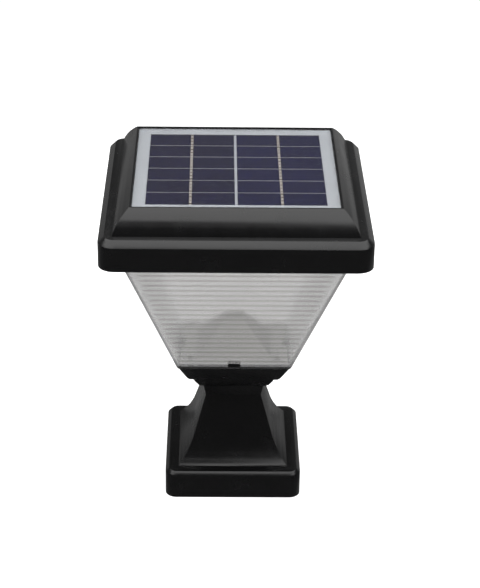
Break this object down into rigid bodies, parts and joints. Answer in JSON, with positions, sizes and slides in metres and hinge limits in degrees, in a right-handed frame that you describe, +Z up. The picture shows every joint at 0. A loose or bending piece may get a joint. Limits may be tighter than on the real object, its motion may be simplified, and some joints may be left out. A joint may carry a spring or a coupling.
{
  "type": "solar deck post cap light",
  "caption": "Solar light for a deck post: square hood with a solar panel over a clear ribbed tapering shade, moulded neck and flared pedestal with a square foot.",
  "frame": {"origin": "centre of the foot's underside, where the light stands on its post", "axes": "+Z up along the light's middle axis, +Y to the back where the power button is, +X to the right seen from the front"},
  "size_m": [0.16, 0.16, 0.2113],
  "materials": {
    "black_abs": "satin black moulded ABS",
    "clear_resin": "clear moulded polycarbonate, ribbed inside",
    "panel_cover": "clear cast resin",
    "white_abs": "matt white moulded ABS",
    "satin_silver": "satin silver metallised plastic",
    "silicon": "dark blue polycrystalline silicon",
    "tinned_ribbon": "tinned copper ribbon",
    "pale_board": "pale grey laminate",
    "green_board": "green lacquered circuit board",
    "white_board": "white lacquered aluminium-core board",
    "lamp_phosphor": "yellow phosphor lamp chips",
    "black_epoxy": "black epoxy",
    "foam": "closed-cell foam tape",
    "silicone": "grey silicone rubber",
    "screw_steel": "zinc plated steel",
    "bracket_steel": "galvanised sheet steel",
    "battery_sleeve": "blue shrink sleeve",
    "nickel": "nickel plated spring steel",
    "connector_nylon": "off-white nylon",
    "red_insulation": "red PVC",
    "black_insulation": "black PVC",
    "capacitor_can": "aluminium can",
    "button_grey": "dark grey rubbery plastic"
  },
  "bodies": {
    "lamp": {"pedestal": "black_abs", "mounting_bracket": "bracket_steel", "locking_screws": "screw_steel", "neck": "black_abs", "neck_screws": "screw_steel", "neck_seal": "silicone", "diffuser": "clear_resin", "reflector": "satin_silver", "diffuser_screws": "screw_steel", "light_tray": "white_abs", "top_seal": "silicone", "hood_shell": "black_abs", "hood_screws": "screw_steel", "tray_screws": "screw_steel", "panel_adhesive": "foam", "panel_backboard": "pale_board", "solar_cells": "silicon", "bus_ribbons": "tinned_ribbon", "panel_glaze": "panel_cover", "led_board": "white_board", "leds": "lamp_phosphor", "led_board_screws": "screw_steel", "control_board": "green_board", "board_screws": "screw_steel", "board_sockets": "connector_nylon", "board_chips": "black_epoxy", "board_capacitor": "capacitor_can", "board_inductor": "black_epoxy", "battery_cell": "battery_sleeve", "battery_holder": "black_epoxy", "holder_screws": "screw_steel", "battery_contacts": "nickel", "power_switch": "black_epoxy", "light_lead_red": "red_insulation", "light_lead_black": "black_insulation", "panel_lead_red": "red_insulation", "panel_lead_black": "black_insulation", "battery_lead_red": "red_insulation", "battery_lead_black": "black_insulation"},
    "button": {"power_button": "button_grey"}
  },
  "joints": [
    {"name": "power_press", "type": "slide", "parent": "lamp", "child": "button", "axis": [0, 0, 1], "range_m": [0, 0.0012], "stiffness_N_per_m": 400, "springref_m": -0.002}
  ]
}
